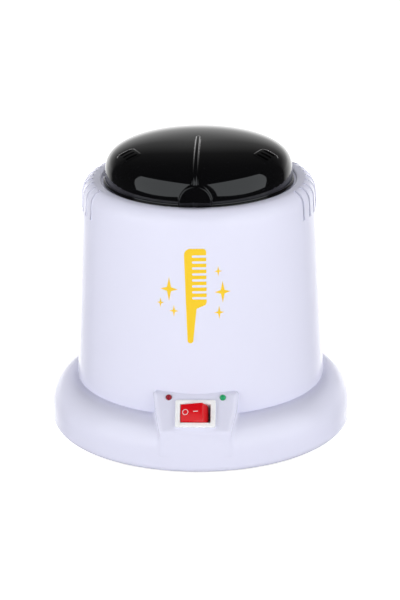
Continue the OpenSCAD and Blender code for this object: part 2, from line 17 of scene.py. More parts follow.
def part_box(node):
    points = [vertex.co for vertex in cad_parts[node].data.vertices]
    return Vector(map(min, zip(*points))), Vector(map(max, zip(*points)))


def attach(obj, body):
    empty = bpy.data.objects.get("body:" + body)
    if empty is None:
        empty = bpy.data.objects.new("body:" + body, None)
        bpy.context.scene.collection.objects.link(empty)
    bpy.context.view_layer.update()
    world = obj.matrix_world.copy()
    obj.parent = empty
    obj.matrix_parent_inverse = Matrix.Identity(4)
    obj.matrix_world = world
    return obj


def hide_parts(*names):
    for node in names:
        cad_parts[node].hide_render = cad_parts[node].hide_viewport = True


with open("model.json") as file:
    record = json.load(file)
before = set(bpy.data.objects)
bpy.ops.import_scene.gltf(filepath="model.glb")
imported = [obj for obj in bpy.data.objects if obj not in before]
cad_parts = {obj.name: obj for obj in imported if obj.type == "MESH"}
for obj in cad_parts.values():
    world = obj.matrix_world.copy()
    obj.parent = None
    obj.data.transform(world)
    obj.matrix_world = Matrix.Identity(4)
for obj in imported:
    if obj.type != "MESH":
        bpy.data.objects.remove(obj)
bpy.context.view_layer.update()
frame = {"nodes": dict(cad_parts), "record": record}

MM = 0.001


def box_mm(node):
    """Lowest and highest corner of a CAD node, in millimetres."""
    low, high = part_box(node)
    return np.array(low) / MM, np.array(high) / MM


# ---------------------------------------------------------------- sizes from the frame
base_low, base_high = box_mm("base_shell")
body_low, body_high = box_mm("body_shell")
lid_low, lid_high = box_mm("lid_dome")

base_r = base_high[0]
base_bottom = base_low[2]
crease_z = body_low[2]
body_top = body_high[2]
body_r0 = body_high[0]
lid_z = lid_low[2]
lid_flange_r = lid_high[0]

# ---------------------------------------------------------------- sizes of the design
WALL = 2.4
BASE_BOTTOM_ROUND = 4.0
CROWN_ACROSS = 12.6
CROWN_HIGH = 15.4
BASE_BORE_R = 55.5
BODY_TAPER = 4.9
SHOULDER_ACROSS = 6.4
SHOULDER_HIGH = 7.4
SEAT_R = 52.0
SEAT_DROP = 1.6
DECK_T = 3.0
DECK_HOLE_R = 44.0
SLOTS_PER_SIDE = 8
SLOT_W = 1.6
SLOT_PITCH = math.radians(7.5)
SLOT_LOW = 15.0
BODY_EDGE_ROUND = 0.34
SLOT_TOP_ANGLE = 79.0
COVER_SCREW_RING_R = 66.0
BODY_SCREW_RING_R = 59.4

FACE_TILT = math.radians(42.5)
FACE_LEN = 22.4
FACE_TOP_Y = -65.6
FACE_TOP_Z = 41.0
FACE_TOP_W = 44.6
FACE_LIP_W = 37.0
CONSOLE_FLARE = 2.5
# The flare grows from nothing at the lip to its full width this far behind it
CONSOLE_DEEP = 31.0
LIP_DRAFT = math.radians(9)
LIP_LOW_Z = 11.5
WEDGE_BACK_Y = -60.5
HOLLOW_BACK_Y = -50
HOLLOW_LOW_Z = 17.0
WEDGE_FILLET = 1.8
COVER_POST_R = 3.4
COVER_POST_LOW = 4.1
LAMP_HOLE_R = 1.7
COVER_SCREW_R = 1.2
BODY_SCREW_R = 1.7
GLAND_HOLE_R = 5.0
LAMP_SPACING = 28.2
LAMP_DOWN = 2.9
SWITCH_DOWN = 12.3
BEZEL_W, BEZEL_H, BEZEL_T = 21.0, 15.0, 1.8
OPENING_W, OPENING_H = 15.8, 10.2
BOX_W, BOX_H, BOX_DEEP = 19.0, 12.8, 13.0
ROCKER_ROOM_W = 16.8
PIVOT_DEEP = 4.9
PIVOT_R = 1.1
ROCKER_H = 9.7
ROCKER_TOP = 8.3
ROCKER_FRONT = 5.85
ROCKER_END = 7.25
ROCKER_REST = math.radians(-14)
GLAND_Z = 13.4
GLAND_Y = 77.2
POCKET_R = 8.4

LID_R = 49.9
LID_POWER_OUT = 2.36
LID_POWER_UP = 4.2
LID_WALL = 2.4
RIB_HALF_W = 1.25
RIB_RISE = 2.2
RIB_END_Y = -3.0
PAD_W, PAD_H = 17.0, 12.0
PAD_Y = -50.7
PAD_BACK_Y = -44
VENT_R, VENT_LEN, VENT_W = 39.7, 6.4, 1.8
VENT_PITCH = 4.0
VENT_ANGLE = math.radians(65)
POST_RING_R = 30.0

lid_h = lid_high[2] - RIB_RISE - lid_z
plate_top = box_mm("lid_plate")[1][2]
seat_z = body_top - SEAT_DROP

# The console's own frame: x to the right, y up the slope, z out of the face
face_up = np.array([0, math.sin(FACE_TILT), math.cos(FACE_TILT)])
face_out = np.array([0, -math.cos(FACE_TILT), math.sin(FACE_TILT)])
face_top = np.array([0, FACE_TOP_Y, FACE_TOP_Z])
lip_y = FACE_TOP_Y - FACE_LEN * math.sin(FACE_TILT)
lip_z = FACE_TOP_Z - FACE_LEN * math.cos(FACE_TILT)


def console_matrix(x, down, out):
    """The console frame at x across, down the slope from its top edge and out of its face, in mm."""
    place = face_top - face_up * down + face_out * out + np.array([x, 0, 0])
    m = Matrix((
        (1, 0, 0, place[0]),
        (0, face_up[1], face_out[1], place[1]),
        (0, face_up[2], face_out[2], place[2]),
        (0, 0, 0, 1),
    ))
    return m


# ---------------------------------------------------------------- materials
def node_tree(name):
    """A new material, its node tree and its Principled shader."""
    material = bpy.data.materials.new(name)
    material.use_nodes = True
    tree = material.node_tree
    shader = tree.nodes["Principled BSDF"]
    return material, tree, shader


def add_node(tree, kind, inputs=None, **settings):
    """A node of that kind with its settings, and its inputs set to values or linked to sockets."""
    node = tree.nodes.new(kind)
    for key, value in settings.items():
        setattr(node, key, value)
    for key, value in (inputs or {}).items():
        if isinstance(value, bpy.types.NodeSocket):
            tree.links.new(value, node.inputs[key])
        else:
            node.inputs[key].default_value = value
    return node


def object_point(tree, stretch=(1, 1, 1)):
    """The object-space position, stretched, as a vector socket."""
    where = add_node(tree, "ShaderNodeTexCoord")
    scaled = add_node(tree, "ShaderNodeMapping", {"Vector": where.outputs["Object"], "Scale": stretch})
    return scaled.outputs["Vector"]


def ramp(tree, factor, stops):
    """A colour ramp over factor; stops are (position, colour)."""
    node = add_node(tree, "ShaderNodeValToRGB", {"Fac": factor})
    elements = node.color_ramp.elements
    while len(elements) < len(stops):
        elements.new(0.5)
    for element, (position, colour) in zip(elements, stops):
        element.position = position
        element.color = (*colour, 1)
    return node.outputs["Color"]


def noise(tree, point, scale, detail=3.0, roughness=0.55):
    node = add_node(tree, "ShaderNodeTexNoise",
                    {"Vector": point, "Scale": scale, "Detail": detail, "Roughness": roughness})
    return node.outputs["Fac"]


def grey(level):
    return (level, level, level)


def shade(colour, factor):
    return tuple(min(1.0, c * factor) for c in colour)


def moulded(name, colour, rough, peel, spread=0.03, specular=0.5):
    """Moulded plastic: faint flow marks in its colour, orange peel and handling marks in its gloss."""
    material, tree, shader = node_tree(name)
    point = object_point(tree)
    flow = noise(tree, point, 26.0, 4.0)
    tint = ramp(tree, flow, [(0.3, shade(colour, 1 - spread)), (0.7, shade(colour, 1 + spread))])
    tree.links.new(tint, shader.inputs["Base Color"])
    marks = noise(tree, point, 160.0, 6.0, 0.7)
    gloss = ramp(tree, marks, [(0.35, grey(rough[0])), (0.75, grey(rough[1]))])
    tree.links.new(gloss, shader.inputs["Roughness"])
    fine = noise(tree, point, 900.0, 2.0)
    bump = add_node(tree, "ShaderNodeBump", {"Height": fine, "Strength": peel, "Distance": 0.0005})
    tree.links.new(bump.outputs["Normal"], shader.inputs["Normal"])
    shader.inputs["Specular IOR Level"].default_value = specular
    return material


def metal(name, colour, rough=(0.2, 0.35), stretch=(1, 1, 40), scale=60.0):
    """Bare or plated metal with a grain drawn out along one direction."""
    material, tree, shader = node_tree(name)
    point = object_point(tree, stretch)
    grain = noise(tree, point, scale, 5.0, 0.65)
    tint = ramp(tree, grain, [(0.3, shade(colour, 0.88)), (0.7, shade(colour, 1.06))])
    tree.links.new(tint, shader.inputs["Base Color"])
    cloudy = noise(tree, object_point(tree), 90.0, 4.0)
    gloss = ramp(tree, cloudy, [(0.3, grey(rough[0])), (0.7, grey(rough[1]))])
    tree.links.new(gloss, shader.inputs["Roughness"])
    bump = add_node(tree, "ShaderNodeBump",
                    {"Height": grain, "Strength": 0.15, "Distance": 0.0002})
    tree.links.new(bump.outputs["Normal"], shader.inputs["Normal"])
    shader.inputs["Metallic"].default_value = 1.0
    return material


def turned_steel(name, colour):
    """Drawn and spun stainless steel: fine rings round the pot's axis and soft heat clouding."""
    material, tree, shader = node_tree(name)
    where = add_node(tree, "ShaderNodeTexCoord")
    split = add_node(tree, "ShaderNodeSeparateXYZ", {"Vector": where.outputs["Object"]})
    radius = add_node(tree, "ShaderNodeVectorMath", {0: where.outputs["Object"], 1: (1, 1, 0)},
                      operation="MULTIPLY")
    length = add_node(tree, "ShaderNodeVectorMath", {0: radius.outputs["Vector"]}, operation="LENGTH")
    rings = add_node(tree, "ShaderNodeCombineXYZ",
                     {"X": length.outputs["Value"], "Y": split.outputs["Z"]})
    grain = noise(tree, rings.outputs["Vector"], 2600.0, 3.0, 0.7)
    tint = ramp(tree, grain, [(0.3, shade(colour, 0.86)), (0.7, shade(colour, 1.08))])
    tree.links.new(tint, shader.inputs["Base Color"])
    cloudy = noise(tree, where.outputs["Object"], 70.0, 4.0)
    gloss = ramp(tree, cloudy, [(0.3, grey(0.16)), (0.7, grey(0.32))])
    tree.links.new(gloss, shader.inputs["Roughness"])
    bump = add_node(tree, "ShaderNodeBump", {"Height": grain, "Strength": 0.25, "Distance": 0.0001})
    tree.links.new(bump.outputs["Normal"], shader.inputs["Normal"])
    shader.inputs["Metallic"].default_value = 1.0
    return material


def lens(name, colour, glow=0.0):
    """A tinted, slightly cloudy lamp lens."""
    material, tree, shader = node_tree(name)
    point = object_point(tree)
    cloud = noise(tree, point, 900.0, 3.0)
    tint = ramp(tree, cloud, [(0.3, shade(colour, 0.8)), (0.7, shade(colour, 1.15))])
    tree.links.new(tint, shader.inputs["Base Color"])
    gloss = ramp(tree, cloud, [(0.3, grey(0.08)), (0.7, grey(0.18))])
    tree.links.new(gloss, shader.inputs["Roughness"])
    shader.inputs["Transmission Weight"].default_value = 0.25
    shader.inputs["Emission Color"].default_value = (*colour, 1)
    shader.inputs["Emission Strength"].default_value = glow
    return material


def fibre(name, colour):
    """Matted ceramic fibre."""
    material, tree, shader = node_tree(name)
    point = object_point(tree, (1, 1, 0.3))
    mat = noise(tree, point, 700.0, 8.0, 0.75)
    tint = ramp(tree, mat, [(0.3, shade(colour, 0.8)), (0.7, shade(colour, 1.05))])
    tree.links.new(tint, shader.inputs["Base Color"])
    bump = add_node(tree, "ShaderNodeBump", {"Height": mat, "Strength": 0.6, "Distance": 0.0008})
    tree.links.new(bump.outputs["Normal"], shader.inputs["Normal"])
    shader.inputs["Roughness"].default_value = 0.95
    return material


LAVENDER_WHITE = (0.79, 0.79, 0.93)
GLOSS_BLACK = (0.0015, 0.0015, 0.002)

looks = {
    "housing_white": moulded("Housing_White", LAVENDER_WHITE, (0.15, 0.19), 0.006, spread=0.004),
    "lid_black": moulded("Lid_Black", GLOSS_BLACK, (0.04, 0.07), 0.004, spread=0.2, specular=0.6),
    "cover_steel": moulded("Cover_Enamel", (0.55, 0.56, 0.58), (0.35, 0.5), 0.15),
    "foot_rubber": moulded("Foot_Rubber", (0.02, 0.02, 0.02), (0.7, 0.85), 0.3, spread=0.2),
    "gland_rubber": moulded("Gland_Rubber", (0.018, 0.018, 0.018), (0.55, 0.7), 0.25, spread=0.2),
    "screw_zinc": metal("Screw_Zinc", (0.66, 0.67, 0.69), (0.22, 0.36), (1, 1, 1), 400.0),
    "collar_phenolic": moulded("Collar_Phenolic", (0.74, 0.72, 0.66), (0.45, 0.6), 0.2),
    "well_steel": turned_steel("Well_Steel", (0.66, 0.66, 0.67)),
    "plate_steel": metal("Plate_Steel", (0.6, 0.6, 0.61), (0.25, 0.4), (1, 30, 1), 50.0),
    "heater_mica": metal("Heater_Band", (0.45, 0.42, 0.36), (0.35, 0.5), (1, 1, 30), 60.0),
    "sleeve_fibre": fibre("Sleeve_Fibre", (0.82, 0.8, 0.74)),
    "shield_aluminium": metal("Shield_Aluminium", (0.78, 0.78, 0.8), (0.28, 0.4), (1, 1, 20), 60.0),
    "insulator_ceramic": moulded("Insulator_Ceramic", (0.82, 0.8, 0.74), (0.5, 0.7), 0.2),
    "standoff_brass": metal("Standoff_Brass", (0.74, 0.52, 0.22), (0.22, 0.34), (1, 1, 1), 500.0),
    "thermostat_metal": metal("Thermostat_Cap", (0.66, 0.66, 0.67), (0.25, 0.4), (1, 1, 1), 300.0),
    "switch_white": moulded("Switch_White", (0.96, 0.96, 0.96), (0.24, 0.32), 0.02, spread=0.006),
    "rocker_red": moulded("Rocker_Red", (0.74, 0.006, 0.012), (0.12, 0.2), 0.02, spread=0.04,
                          specular=0.35),
    "plunger_nylon": moulded("Nylon", (0.8, 0.8, 0.76), (0.4, 0.55), 0.1),
    "spring_steel": metal("Spring_Steel", (0.6, 0.6, 0.62), (0.2, 0.3), (1, 1, 1), 500.0),
    "lamp_red": lens("Lamp_Red", (0.34, 0.004, 0.02), 0.12),
    "lamp_green": lens("Lamp_Green", (0.02, 0.42, 0.16), 0.12),
    "board_green": moulded("Board_Green", (0.02, 0.16, 0.06), (0.3, 0.45), 0.1),
    "resistor_body": moulded("Resistor_Body", (0.6, 0.45, 0.25), (0.35, 0.5), 0.1),
    "wire_brown": moulded("Wire_Brown", (0.16, 0.06, 0.025), (0.4, 0.55), 0.1),
    "wire_red": moulded("Wire_Red", (0.5, 0.02, 0.02), (0.4, 0.55), 0.1),
    "wire_blue": moulded("Wire_Blue", (0.03, 0.08, 0.42), (0.4, 0.55), 0.1),
    "wire_white": moulded("Wire_White", (0.8, 0.8, 0.8), (0.4, 0.55), 0.1),
    "wire_green": moulded("Wire_Green", (0.05, 0.35, 0.06), (0.4, 0.55), 0.1),
    "gasket_silicone": moulded("Gasket_Silicone", (0.18, 0.18, 0.19), (0.5, 0.65), 0.15),
}
print_yellow = moulded("Print_Yellow", (0.95, 0.62, 0.01), (0.35, 0.45), 0.04, spread=0.02)
mark_white = moulded("Mark_White", (0.85, 0.85, 0.85), (0.4, 0.5), 0.1, spread=0.02)

slot_of = {part["node"]: part["material_slot"] for part in frame["record"]["subparts"]}
for node_name, node in frame["nodes"].items():
    for place in node.material_slots:
        place.material = looks[slot_of[node_name]]
    if not node.material_slots:
        node.data.materials.append(looks[slot_of[node_name]])


# ---------------------------------------------------------------- mesh tools
def to_object(name, points, faces, material, smooth=True):
    """A mesh object in metres from points in millimetres."""
    mesh = bpy.data.meshes.new(name)
    mesh.from_pydata([tuple(p) for p in np.asarray(points, float) * MM], [], faces)
    mesh.update()
    obj = bpy.data.objects.new(name, mesh)
    bpy.context.scene.collection.objects.link(obj)
    mesh.materials.append(material)
    if smooth:
        mesh.shade_smooth()
    return obj


def place_in(obj, matrix_mm):
    """Bakes a matrix whose translation is in millimetres into the object's mesh."""
    m = matrix_mm.copy()
    m.translation = m.translation * MM
    obj.data.transform(m)
    return obj


def join(name, parts):
    """One mesh object out of several, with their materials."""
    bpy.ops.object.select_all(action="DESELECT")
    for part in parts:
        part.select_set(True)
    bpy.context.view_layer.objects.active = parts[0]
    bpy.ops.object.join()
    parts[0].name = name
    parts[0].data.name = name
    return parts[0]


def apply_modifiers(obj):
    """Replaces the mesh with what its modifiers make of it."""
    depsgraph = bpy.context.evaluated_depsgraph_get()
    mesh = bpy.data.meshes.new_from_object(obj.evaluated_get(depsgraph))
    old = obj.data
    obj.modifiers.clear()
    obj.data = mesh
    mesh.name = obj.name
    bpy.data.meshes.remove(old)
    return obj


def carve(obj, cutters):
    """Cuts each cutter out of obj and removes the cutters."""
    for cutter in cutters:
        cut = obj.modifiers.new("cut", "BOOLEAN")
        cut.operation = "DIFFERENCE"
        cut.solver = "EXACT"
        cut.object = cutter
    apply_modifiers(obj)
    for cutter in cutters:
        bpy.data.objects.remove(cutter)
    return obj


def bevel(obj, width, segments=3, angle=30):
    """Rounds the edges sharper than angle."""
    edge = obj.modifiers.new("edge", "BEVEL")
    edge.width = width * MM
    edge.segments = segments
    edge.limit_method = "ANGLE"
    edge.angle_limit = math.radians(angle)
    edge.harden_normals = False
    return apply_modifiers(obj)


def crisp(obj, angle=35):
    """Smooth shading that breaks at edges sharper than angle."""
    obj.data.shade_smooth()
    obj.data.set_sharp_from_angle(angle=math.radians(angle))
    return obj


def block(name, low, high, material):
    """A box between two corners."""
    x0, y0, z0 = low
    x1, y1, z1 = high
    points = [(x, y, z) for x in (x0, x1) for y in (y0, y1) for z in (z0, z1)]
    faces = [(0, 1, 3, 2), (4, 6, 7, 5), (0, 4, 5, 1), (2, 3, 7, 6), (0, 2, 6, 4), (1, 5, 7, 3)]
    return to_object(name, points, faces, material, smooth=False)


def prism(name, outline, low, high, material):
    """An outline in x and y, drawn up from z = low to z = high."""
    n = len(outline)
    points = [(x, y, z) for z in (low, high) for x, y in outline]
    faces = [tuple(range(n - 1, -1, -1)), tuple(range(n, 2 * n))]
    faces += [(i, (i + 1) % n, n + (i + 1) % n, n + i) for i in range(n)]
    return to_object(name, points, faces, material, smooth=False)


def revolved(name, outline, material, steps=96, closed=True):
    """An outline in radius and height, turned round the Z axis. Points on the axis become poles."""
    rings = []
    points = []
    for r, z in outline:
        if r < 1e-6:
            rings.append([len(points)] * steps)
            points.append((0, 0, z))
            continue
        rings.append(list(range(len(points), len(points) + steps)))
        for k in range(steps):
            a = 2 * math.pi * k / steps
            points.append((r * math.cos(a), r * math.sin(a), z))
    faces = []
    count = len(outline)
    for i in range(count if closed else count - 1):
        a, b = rings[i], rings[(i + 1) % count]
        for k in range(steps):
            quad = [a[k], a[(k + 1) % steps], b[(k + 1) % steps], b[k]]
            face = list(dict.fromkeys(quad))
            if len(face) > 2:
                faces.append(tuple(face))
    return to_object(name, points, faces, material)


def arc(cx, cz, r, start, end, count, rz=None):
    """Points round an arc or a quarter of an ellipse, angles in degrees."""
    rz = r if rz is None else rz
    return [(cx + r * math.cos(math.radians(start + (end - start) * i / count)),
             cz + rz * math.sin(math.radians(start + (end - start) * i / count)))
            for i in range(count + 1)]


# ---------------------------------------------------------------- distance fields
def join_round(a, b, r):
    """Union of two fields with a fillet of radius r where they meet."""
    reach = np.hypot(np.maximum(r - a, 0), np.maximum(r - b, 0))
    return np.maximum(r, np.minimum(a, b)) - reach


def meet_round(a, b, r):
    """Intersection of two fields with the edge between them rounded to radius r."""
    reach = np.hypot(np.maximum(r + a, 0), np.maximum(r + b, 0))
    return np.minimum(-r, np.maximum(a, b)) + reach


def gradient(field, p, h=0.01):
    """The field's gradient by central differences."""
    g = np.empty_like(p)
    for axis in range(3):
        step = np.zeros(3)
        step[axis] = h
        g[:, axis] = (field(p + step) - field(p - step)) / (2 * h)
    return g


def settle(field, p, steps, limit):
    """Moves points onto the field's zero surface by Newton steps."""
    for _ in range(steps):
        g = gradient(field, p)
        move = g * (field(p) / np.maximum((g * g).sum(1), 1e-6))[:, None]
        size = np.linalg.norm(move, axis=1, keepdims=True)
        p = p - move * np.minimum(1, limit / np.maximum(size, 1e-9))
    return p


def field_mesh(name, field, low, high, cell, material):
    """A mesh of quads on the zero surface of a field, made on a grid and then settled onto it."""
    low, high = np.array(low, float), np.array(high, float)
    count = np.ceil((high - low) / cell).astype(int) + 1
    axes = [low[i] + cell * np.arange(count[i]) for i in range(3)]
    grid = np.stack(np.meshgrid(*axes, indexing="ij"), -1)
    inside = np.empty(count, bool)
    for i in range(count[0]):
        inside[i] = (field(grid[i].reshape(-1, 3)) < 0).reshape(count[1], count[2])
    cells = count - 1
    filled = np.zeros(cells, np.int8)
    for i in (0, 1):
        for j in (0, 1):
            for k in (0, 1):
                filled += inside[i:i + cells[0], j:j + cells[1], k:k + cells[2]]
    active = (filled > 0) & (filled < 8)
    number = np.full(cells, -1)
    number[active] = np.arange(active.sum())
    points = low + cell * (np.argwhere(active) + 0.5)
    quads = []
    for axis in range(3):
        u, v = np.eye(3, dtype=int)[(axis + 1) % 3], np.eye(3, dtype=int)[(axis + 2) % 3]
        along = np.eye(3, dtype=int)[axis]
        core = tuple(slice(0, count[i] - 1) if i == axis else slice(1, count[i] - 1) for i in range(3))
        ahead = tuple(slice(1, count[i]) if i == axis else slice(1, count[i] - 1) for i in range(3))
        here, there = inside[core], inside[ahead]
        index = np.argwhere(here != there) + (1 - along)
        corners = [number[tuple((index - shift).T)] for shift in (0 * u, u, u + v, v)]
        quad = np.stack(corners, 1)
        outward = here[here != there]
        quad[~outward] = quad[~outward][:, ::-1]
        quads.append(quad)
    quads = np.concatenate(quads)
    points = settle(field, points, 4, cell)
    for _ in range(3):
        total = np.zeros_like(points)
        share = np.zeros(len(points))
        for k in range(4):
            for other in (1, 3):
                np.add.at(total, quads[:, k], points[quads[:, (k + other) % 4]])
                np.add.at(share, quads[:, k], 1)
        mean = total / np.maximum(share, 1)[:, None]
        points = settle(field, points * 0.5 + mean * 0.5, 2, cell)
    return to_object(name, points, [tuple(q) for q in quads.tolist()], material)


def true_normals(obj, field, reach=0.03, limit=0.6):
    """Gives each corner that lies on the field's surface the field's own normal, and others their face's."""
    mesh = obj.data
    points = np.empty(len(mesh.vertices) * 3)
    mesh.vertices.foreach_get("co", points)
    points = points.reshape(-1, 3) / MM
    g = gradient(field, points)
    g /= np.maximum(np.linalg.norm(g, axis=1, keepdims=True), 1e-9)
    near = np.abs(field(points)) < reach
    vertex = np.empty(len(mesh.loops), int)
    mesh.loops.foreach_get("vertex_index", vertex)
    flat = np.empty(len(mesh.polygons) * 3)
    mesh.polygons.foreach_get("normal", flat)
    flat = flat.reshape(-1, 3)
    totals = np.empty(len(mesh.polygons), int)
    mesh.polygons.foreach_get("loop_total", totals)
    face_normal = np.repeat(flat, totals, axis=0)
    wanted = g[vertex]
    use = near[vertex] & ((wanted * face_normal).sum(1) > limit)
    normals = np.where(use[:, None], wanted, face_normal)
    mesh.shade_smooth()
    mesh.normals_split_custom_set([tuple(n) for n in normals.tolist()])
    return obj


def console_point(p):
    """Points in the console's frame: across, up the slope from the top edge, out of the face."""
    offset = p - face_top
    return offset[:, 0], offset @ face_up, offset @ face_out


# ---------------------------------------------------------------- base with its console
def ring_field(p):
    """The base moulding's outside: flared crown, upright side, small round at the bottom."""
    side = np.hypot(p[:, 0], p[:, 1]) - base_r
    above = (p[:, 2] - crease_z) * CROWN_ACROSS / CROWN_HIGH
    upper = meet_round(side, above, CROWN_ACROSS)
    lower = meet_round(side, base_bottom - p[:, 2], BASE_BOTTOM_ROUND)
    return np.maximum(upper, lower)


def wedge_field(p, inset=0.0):
    """The console block: sloping face, sides that narrow downwards, top ledge and drafted lip."""
    x, up, out = console_point(p)
    down = np.clip(-up, 0, FACE_LEN) / FACE_LEN
    behind = np.clip((p[:, 1] - lip_y) / CONSOLE_DEEP, 0, 1)
    half = (FACE_TOP_W + (FACE_LIP_W - FACE_TOP_W) * down) / 2 + CONSOLE_FLARE * down * behind
    side = (np.abs(x) - half) * 0.98 + inset
    ledge = p[:, 2] - FACE_TOP_Z + inset
    below = (lip_z - p[:, 2]) * math.sin(LIP_DRAFT)
    lip = (lip_y - p[:, 1]) * math.cos(LIP_DRAFT) + below + inset
    front = meet_round(out + inset, lip, 1.0)
    cap = meet_round(front, ledge, 1.3)
    return meet_round(cap, side, 2.2)


def upright(p, angle, ring_r):
    """Distance from the upright line at that angle (degrees) on a ring."""
    a = math.radians(angle)
    return np.hypot(p[:, 0] - ring_r * math.cos(a), p[:, 1] - ring_r * math.sin(a))


def base_field(p):
    """The base shell: open below, with the console, the cable pocket's wall and four screw posts."""
    rho = np.hypot(p[:, 0], p[:, 1])
    ring = ring_field(p)
    floor_hole = np.maximum(rho - (base_r - BASE_BOTTOM_ROUND), p[:, 2] - base_bottom - 6)
    shell = np.maximum(ring, -np.minimum(ring + WALL, floor_hole))
    shell = np.maximum(shell, BASE_BORE_R - rho)
    behind = np.hypot(p[:, 0], p[:, 2] - GLAND_Z) - POCKET_R - 2
    pocket_wall = np.maximum(np.maximum(behind, GLAND_Y - WALL - p[:, 1]), ring)
    shell = np.minimum(shell, pocket_wall)
    for k in range(4):
        post = np.maximum(upright(p, 45 + 90 * k, COVER_SCREW_RING_R) - COVER_POST_R,
                          COVER_POST_LOW - p[:, 2])
        shell = np.minimum(shell, np.maximum(post, ring + WALL / 2))
    wedge = np.maximum(wedge_field(p), np.maximum(p[:, 1] - WEDGE_BACK_Y, LIP_LOW_Z - p[:, 2]))
    whole = join_round(shell, wedge, WEDGE_FILLET)
    hollow = np.maximum(p[:, 1] - HOLLOW_BACK_Y, HOLLOW_LOW_Z - p[:, 2])
    inside = np.maximum(wedge_field(p, WALL), hollow)
    return np.maximum(whole, -inside)


def rounded_box(name, w, h, low, high, corner, material):
    """A block w by h with rounded upright corners, from z = low to z = high."""
    outline = []
    for k, (sx, sy) in enumerate(((1, 1), (-1, 1), (-1, -1), (1, -1))):
        cx, cy = sx * (w / 2 - corner), sy * (h / 2 - corner)
        outline += arc(cx, cy, corner, 90 * k, 90 * k + 90, 6)
    return prism(name, outline, low, high, material)


def rod(name, r, low, high, material, steps=32):
    """A round rod along Z."""
    outline = arc(0, 0, r, 0, 360 - 360 / steps, steps - 1)
    return prism(name, outline, low, high, material)


def lay_back(obj, x, y, z):
    """Turns an object from the Z axis to +Y and puts it at a place in mm."""
    m = Matrix.Rotation(math.radians(-90), 4, "X")
    m.translation = (x, y, z)
    return place_in(obj, m)


def make_base():
    reach = base_r + 2
    white = looks["housing_white"]
    base = field_mesh("Base_Housing", base_field, (-reach, -reach, base_bottom - 1.5),
                      (reach, reach, FACE_TOP_Z + 3), 0.8, white)
    opening = rounded_box("cut", BOX_W + 0.3, BOX_H + 0.3, -9, 4, 0.5, white)
    cutters = [place_in(opening, console_matrix(0, SWITCH_DOWN, 0))]
    for side in (-1, 1):
        hole = rod("cut", LAMP_HOLE_R, -8, 4, white)
        cutters.append(place_in(hole, console_matrix(side * LAMP_SPACING / 2, LAMP_DOWN, 0)))
    cutters.append(lay_back(rod("cut", POCKET_R, 0, 10, white, 64), 0, GLAND_Y, GLAND_Z))
    cutters.append(lay_back(rod("cut", GLAND_HOLE_R, -10, 1, white, 48), 0, GLAND_Y, GLAND_Z))
    for k in range(4):
        a = math.radians(45 + 90 * k)
        for ring_r, r, low, high in ((COVER_SCREW_RING_R, COVER_SCREW_R, 3, 16),
                                     (BODY_SCREW_RING_R, BODY_SCREW_R, 20, 32)):
            hole = rod("cut", r, low, high, white, 20)
            m = Matrix.Translation((ring_r * math.cos(a), ring_r * math.sin(a), 0))
            cutters.append(place_in(hole, m))
    carve(base, [join("cut", cutters)])
    true_normals(base, base_field)
    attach(base, "housing")
    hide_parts("base_shell")


# ---------------------------------------------------------------- body
def body_radius(z):
    """Radius of the body's tapered wall at a height."""
    return body_r0 - BODY_TAPER * (z - crease_z) / (body_top - SHOULDER_HIGH - crease_z)


def body_chain(inset):
    """The wall from the foot of a slot, up and over the shoulder to the slot's top end."""
    cx = body_r0 - BODY_TAPER - SHOULDER_ACROSS
    cz = body_top - SHOULDER_HIGH
    low = body_top - SLOT_LOW
    wall = [(body_radius(low) - inset, low), (body_radius(low + 3.5) - inset, low + 3.5)]
    return wall + arc(cx, cz, SHOULDER_ACROSS - inset, 0, SLOT_TOP_ANGLE, 12, SHOULDER_HIGH - inset)


